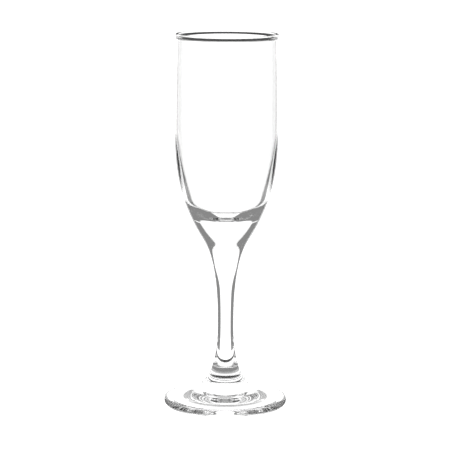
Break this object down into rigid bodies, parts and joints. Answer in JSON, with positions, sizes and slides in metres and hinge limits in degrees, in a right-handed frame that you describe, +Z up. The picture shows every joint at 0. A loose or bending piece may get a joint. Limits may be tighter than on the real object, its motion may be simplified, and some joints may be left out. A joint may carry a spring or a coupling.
{
  "type": "champagne flute",
  "caption": "Stemmed drinking glass: a tall narrow bowl with a beaded rim and a heavy base, on a waisted stem and a round domed foot that rests on a flat ring.",
  "frame": {"origin": "on the axis of the glass, on the table under the foot", "axes": "+Z up along the axis, from the foot to the rim; the glass is round, so +X and +Y may point anywhere"},
  "size_m": [0.0624, 0.0624, 0.19],
  "materials": {
    "clear_glass": "fire-polished, clear and colourless"
  },
  "bodies": {
    "root": {"bowl": "clear_glass", "stem": "clear_glass", "foot": "clear_glass"}
  },
  "joints": []
}
